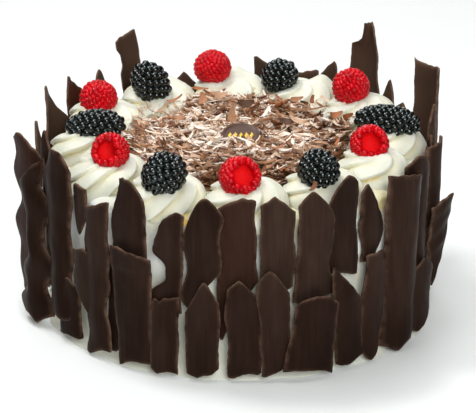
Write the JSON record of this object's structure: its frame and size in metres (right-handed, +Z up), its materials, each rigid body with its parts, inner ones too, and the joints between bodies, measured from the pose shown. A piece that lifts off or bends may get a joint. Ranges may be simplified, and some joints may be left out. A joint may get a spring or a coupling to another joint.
{
  "type": "black forest cake",
  "caption": "Round uncut cream cake fenced by upright dark chocolate shards, topped with piped cream rosettes, berries, chocolate shavings and a plain chocolate badge.",
  "frame": {"origin": "centre of the cake's flat underside", "axes": "+Z up; the front, as first seen, faces -Y; +X to the right seen from the front"},
  "size_m": [0.2353, 0.2182, 0.1364],
  "materials": {
    "cream": "whipped cream, soft satin, ivory in the creases",
    "dark_chocolate": "dark chocolate, dull sheen, paler brown where it is broken",
    "shavings": "milk chocolate shavings, matt, tan to brown",
    "red_berry": "ripe red berry, moist, finely haired",
    "dark_berry": "ripe blue-black berry, glossy",
    "badge": "moulded dark chocolate, satin, small gold dots"
  },
  "bodies": {
    "root": {"cake_body": "cream", "badge": "badge", "shavings_heap": "shavings", "cream_rosette_01": "cream", "cream_rosette_02": "cream", "cream_rosette_03": "cream", "cream_rosette_04": "cream", "cream_rosette_05": "cream", "cream_rosette_06": "cream", "cream_rosette_07": "cream", "cream_rosette_08": "cream", "cream_rosette_09": "cream", "cream_rosette_10": "cream", "cream_rosette_11": "cream", "cream_rosette_12": "cream", "red_berry_01": "red_berry", "red_berry_02": "red_berry", "red_berry_03": "red_berry", "red_berry_04": "red_berry", "red_berry_05": "red_berry", "red_berry_06": "red_berry", "dark_berry_01": "dark_berry", "dark_berry_02": "dark_berry", "dark_berry_03": "dark_berry", "dark_berry_04": "dark_berry", "dark_berry_05": "dark_berry", "dark_berry_06": "dark_berry", "shard_01": "dark_chocolate", "shard_02": "dark_chocolate", "shard_03": "dark_chocolate", "shard_04": "dark_chocolate", "shard_05": "dark_chocolate", "shard_06": "dark_chocolate", "shard_07": "dark_chocolate", "shard_08": "dark_chocolate", "shard_09": "dark_chocolate", "shard_10": "dark_chocolate", "shard_11": "dark_chocolate", "shard_12": "dark_chocolate", "shard_13": "dark_chocolate", "shard_14": "dark_chocolate", "shard_15": "dark_chocolate", "shard_16": "dark_chocolate", "shard_17": "dark_chocolate", "shard_18": "dark_chocolate", "shard_19": "dark_chocolate", "shard_20": "dark_chocolate", "shard_21": "dark_chocolate", "shard_22": "dark_chocolate", "shard_23": "dark_chocolate", "shard_24": "dark_chocolate", "shard_25": "dark_chocolate", "shard_26": "dark_chocolate", "shard_27": "dark_chocolate", "shard_28": "dark_chocolate", "shard_29": "dark_chocolate", "shard_30": "dark_chocolate", "shard_31": "dark_chocolate", "shard_32": "dark_chocolate", "shard_33": "dark_chocolate"}
  },
  "joints": []
}
